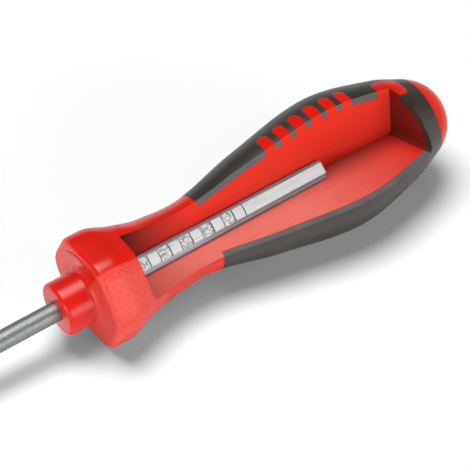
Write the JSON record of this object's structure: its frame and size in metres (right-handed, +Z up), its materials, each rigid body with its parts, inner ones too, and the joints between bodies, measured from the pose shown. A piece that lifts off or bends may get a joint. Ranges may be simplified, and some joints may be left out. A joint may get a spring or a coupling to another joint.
{
  "type": "slotted screwdriver",
  "caption": "Slotted screwdriver with a two-component handle, cut open along one side to show the blade's six-sided anchor in the core.",
  "frame": {"origin": "middle of the flat end face of the blade's tip", "axes": "+X along the blade's axis from the tip to the end of the handle, +Z up with the tool lying on one flat of the shoulder, window toward -Y and +Z"},
  "size_m": [0.2402, 0.0354, 0.0342],
  "materials": {
    "steel": "satin shank, brighter anchor",
    "red_plastic": "moulded hard plastic, fine grain on the shoulder's flats",
    "soft_rubber": "matt soft overmould"
  },
  "bodies": {
    "root": {"blade": "steel", "handle_core": "red_plastic", "soft_grip": "soft_rubber"}
  },
  "joints": []
}
